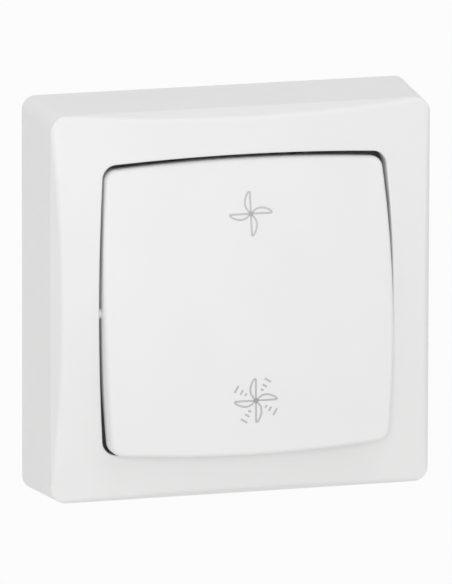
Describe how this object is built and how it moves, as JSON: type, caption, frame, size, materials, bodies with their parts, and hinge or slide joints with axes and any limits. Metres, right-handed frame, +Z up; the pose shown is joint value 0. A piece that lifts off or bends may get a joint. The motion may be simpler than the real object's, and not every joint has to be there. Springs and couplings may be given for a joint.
{
  "type": "fan switch",
  "caption": "Surface-mounted two-speed fan switch: domed square cover, large tilting rocker and a changeover contact mechanism on a wall plate.",
  "frame": {"origin": "centre of the wall plate's rear face, on the wall", "axes": "+Z up the wall, +X to the right as seen from the room, -Y out of the wall towards the user"},
  "size_m": [0.08, 0.0278, 0.08],
  "materials": {
    "cover_plastic": "satin white moulding",
    "rocker_plastic": "satin white moulding",
    "sign_ink": "grey pad print",
    "base_plastic": "plain white moulding",
    "housing_plastic": "plain off-white moulding",
    "lid_plastic": "plain grey moulding",
    "plunger_plastic": "natural acetal",
    "brass": "bright strip",
    "contact_silver": "silver contact",
    "steel": "zinc plated"
  },
  "bodies": {
    "body": {"cover": "cover_plastic", "base": "base_plastic", "switch_housing": "housing_plastic", "contact_cover": "lid_plastic", "common_terminal": "brass", "low_speed_terminal": "brass", "high_speed_terminal": "brass", "low_fixed_contact": "contact_silver", "high_fixed_contact": "contact_silver", "common_clamp": "brass", "low_clamp": "brass", "high_clamp": "brass", "terminal_screws": "steel", "housing_screws": "steel"},
    "rocker": {"rocker": "rocker_plastic", "plunger_spring": "steel"},
    "plunger": {"plunger": "plunger_plastic"},
    "moving_contact": {"contact_blade": "brass", "low_moving_contact": "contact_silver", "high_moving_contact": "contact_silver"}
  },
  "joints": [
    {"name": "rocker_tilt", "type": "hinge", "parent": "body", "child": "rocker", "pos_m": [0, -0.02085, -0.0004], "axis": [1, 0, 0], "range_deg": [0, 12]},
    {"name": "blade_rock", "type": "hinge", "parent": "body", "child": "moving_contact", "pos_m": [0, -0.007, -0.0004], "axis": [1, 0, 0], "range_deg": [-11.4, 0]},
    {"name": "plunger_slide", "type": "slide", "parent": "rocker", "child": "plunger", "axis": [0, -0.9945, 0.1045], "range_m": [0, 0.0006], "stiffness_N_per_m": 800, "springref_m": -0.002, "deforming": ["plunger_spring"]}
  ],
  "couplings": [
    {"joint": "blade_rock", "follows": "rocker_tilt", "ratio": -0.95}
  ]
}
